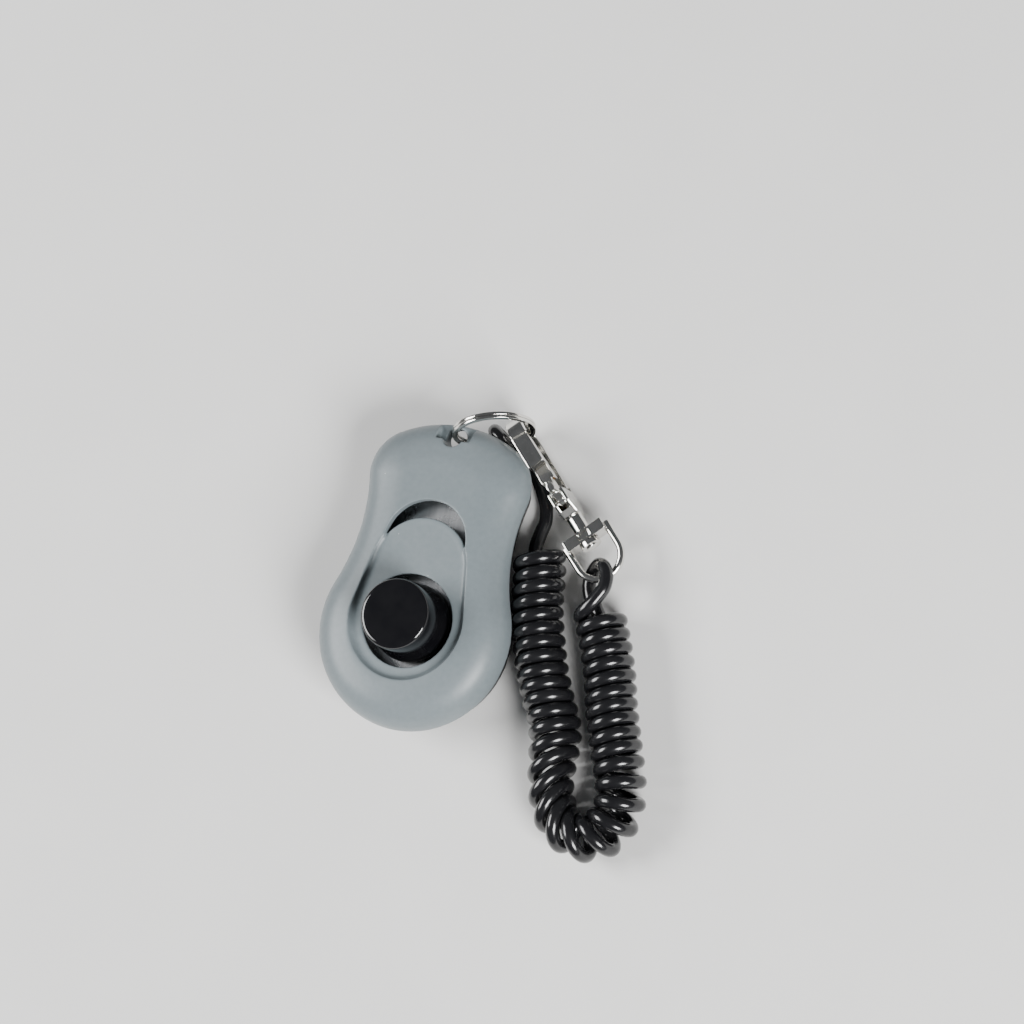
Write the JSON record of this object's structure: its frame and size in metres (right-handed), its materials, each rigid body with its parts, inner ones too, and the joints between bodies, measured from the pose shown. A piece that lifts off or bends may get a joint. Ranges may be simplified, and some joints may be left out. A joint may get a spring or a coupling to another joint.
{
  "type": "clicker trainer",
  "caption": "Hand-held animal training clicker with a push button over a sprung steel plate, a split ring, a curly wrist cord and a swivel snap hook.",
  "frame": {"origin": "centre of the case's flat back, on the surface it lies on", "axes": "+Z from the back towards the button, +Y from the button end towards the ring end, +X to the right with the button towards the viewer"},
  "size_m": [0.0758, 0.0885, 0.024],
  "materials": {
    "case_grey": "soft-touch matte",
    "case_black": "satin",
    "button_black": "high gloss",
    "spring_steel": "rolled sheet",
    "steel_screws": "zinc plated",
    "nickel": "bright nickel plate",
    "cord_black": "glossy, slightly soft",
    "brass_spring": "bright"
  },
  "bodies": {
    "clicker": {"upper_shell": "case_grey", "lower_shell": "case_black", "case_screws": "steel_screws", "clamp_bar": "steel_screws", "clamp_screws": "steel_screws"},
    "plate": {"click_plate": "spring_steel"},
    "button": {"button_cap": "button_black", "push_nut": "spring_steel"},
    "lanyard": {"coil_cord": "cord_black", "ring_end_eye": "cord_black", "hook_end_eye": "cord_black"},
    "ring": {"split_ring": "nickel"},
    "bail": {"bail": "nickel"},
    "hook": {"hook_body": "nickel", "swivel_washer": "nickel", "gate_pin": "nickel", "gate_spring": "brass_spring"},
    "gate": {"gate_lever": "nickel"}
  },
  "joints": [
    {"name": "button_press", "type": "slide", "parent": "clicker", "child": "button", "axis": [0, 0, -1], "range_m": [0, 0.0016], "stiffness_N_per_m": 1500},
    {"name": "plate_flex", "type": "hinge", "parent": "clicker", "child": "plate", "pos_m": [0, 0.0185, 0.0114], "axis": [1, 0, 0], "range_deg": [0, 3.2], "stiffness_Nm_per_rad": 0.3},
    {"name": "lanyard_swing", "type": "hinge", "parent": "clicker", "child": "lanyard", "pos_m": [0, 0.0289, 0.0109], "axis": [0, 0, 1], "range_deg": [0, 90]},
    {"name": "ring_spin", "type": "hinge", "parent": "lanyard", "child": "ring", "pos_m": [0.0076, 0.0319, 0.0121], "axis": [0.3468, -0.9276, 0.1392], "continuous": true},
    {"name": "bail_tilt", "type": "hinge", "parent": "lanyard", "child": "bail", "pos_m": [0.0349, 0.0062, 0.0068], "axis": [0.9871, 0.16, 0], "range_deg": [0, 1.5]},
    {"name": "hook_swivel", "type": "hinge", "parent": "bail", "child": "hook", "pos_m": [0.0305, 0.0144, 0.0068], "axis": [-0.7071, 0.7071, 0], "range_deg": [-1, 3]},
    {"name": "gate_open", "type": "hinge", "parent": "hook", "child": "gate", "pos_m": [0.02428, 0.02062, 0.0085], "axis": [-0.7071, -0.7071, 0], "range_deg": [0, 20], "stiffness_Nm_per_rad": 0.01, "deforming": ["gate_spring"]}
  ],
  "couplings": [
    {"joint": "plate_flex", "follows": "button_press", "rad_per_m": 34.8}
  ]
}
